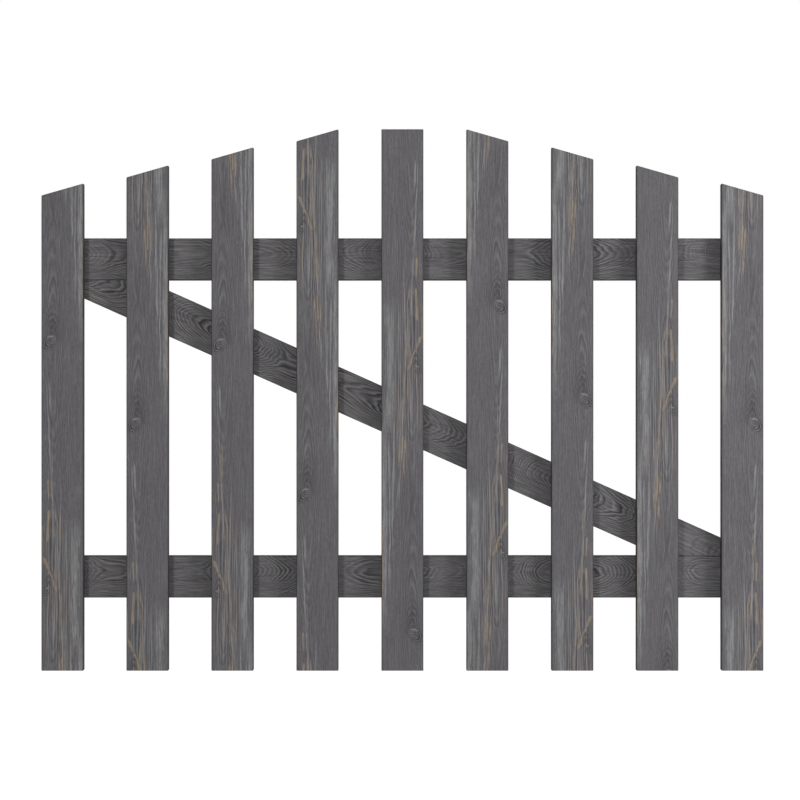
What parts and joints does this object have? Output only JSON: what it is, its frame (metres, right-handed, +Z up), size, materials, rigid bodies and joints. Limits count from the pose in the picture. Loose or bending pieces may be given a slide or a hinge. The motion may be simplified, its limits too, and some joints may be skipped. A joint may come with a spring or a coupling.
{
  "type": "garden gate",
  "caption": "Low arched picket garden gate: grey weathered pickets on two rails and a diagonal brace, with strap hinges on post hooks and a slide bolt at the back.",
  "frame": {"origin": "centre of the lower hook plate's mounting face, on the side of the hinge post", "axes": "+Z up, +X from the gate towards the hinge post, -Y towards the picket side; the gate is shut and its bolt drawn at rest"},
  "size_m": [1.204, 0.0891, 0.9],
  "materials": {
    "weathered_pickets": "grey weathered softwood, fine raised grain",
    "weathered_frame": "grey weathered softwood, fine raised grain",
    "black_steel": "black powder coat, satin",
    "zinc_steel": "zinc plated",
    "nylon": "natural nylon"
  },
  "bodies": {
    "post_hooks": {"upper_hook_plate": "black_steel", "upper_hook_pin": "black_steel", "upper_hook_washer": "nylon", "lower_hook_plate": "black_steel", "lower_hook_pin": "black_steel", "lower_hook_washer": "nylon"},
    "leaf": {"picket_1": "weathered_pickets", "picket_2": "weathered_pickets", "picket_3": "weathered_pickets", "picket_4": "weathered_pickets", "picket_5": "weathered_pickets", "picket_6": "weathered_pickets", "picket_7": "weathered_pickets", "picket_8": "weathered_pickets", "picket_9": "weathered_pickets", "top_rail": "weathered_frame", "bottom_rail": "weathered_frame", "brace": "weathered_frame", "top_rail_screws": "zinc_steel", "bottom_rail_screws": "zinc_steel", "brace_screws": "zinc_steel", "upper_strap": "black_steel", "lower_strap": "black_steel", "upper_strap_screws": "zinc_steel", "lower_strap_screws": "zinc_steel", "bolt_plate": "black_steel", "bolt_guides": "black_steel", "bolt_rivets": "zinc_steel", "bolt_screws": "zinc_steel"},
    "bolt": {"bolt_rod": "black_steel", "bolt_knob": "black_steel"}
  },
  "joints": [
    {"name": "leaf_swing", "type": "hinge", "parent": "post_hooks", "child": "leaf", "pos_m": [-0.01698, -0.01052, 0], "axis": [0, 0, -1], "range_deg": [0, 115]},
    {"name": "bolt_slide", "type": "slide", "parent": "leaf", "child": "bolt", "axis": [-1, 0, 0], "range_m": [0, 0.032]}
  ]
}
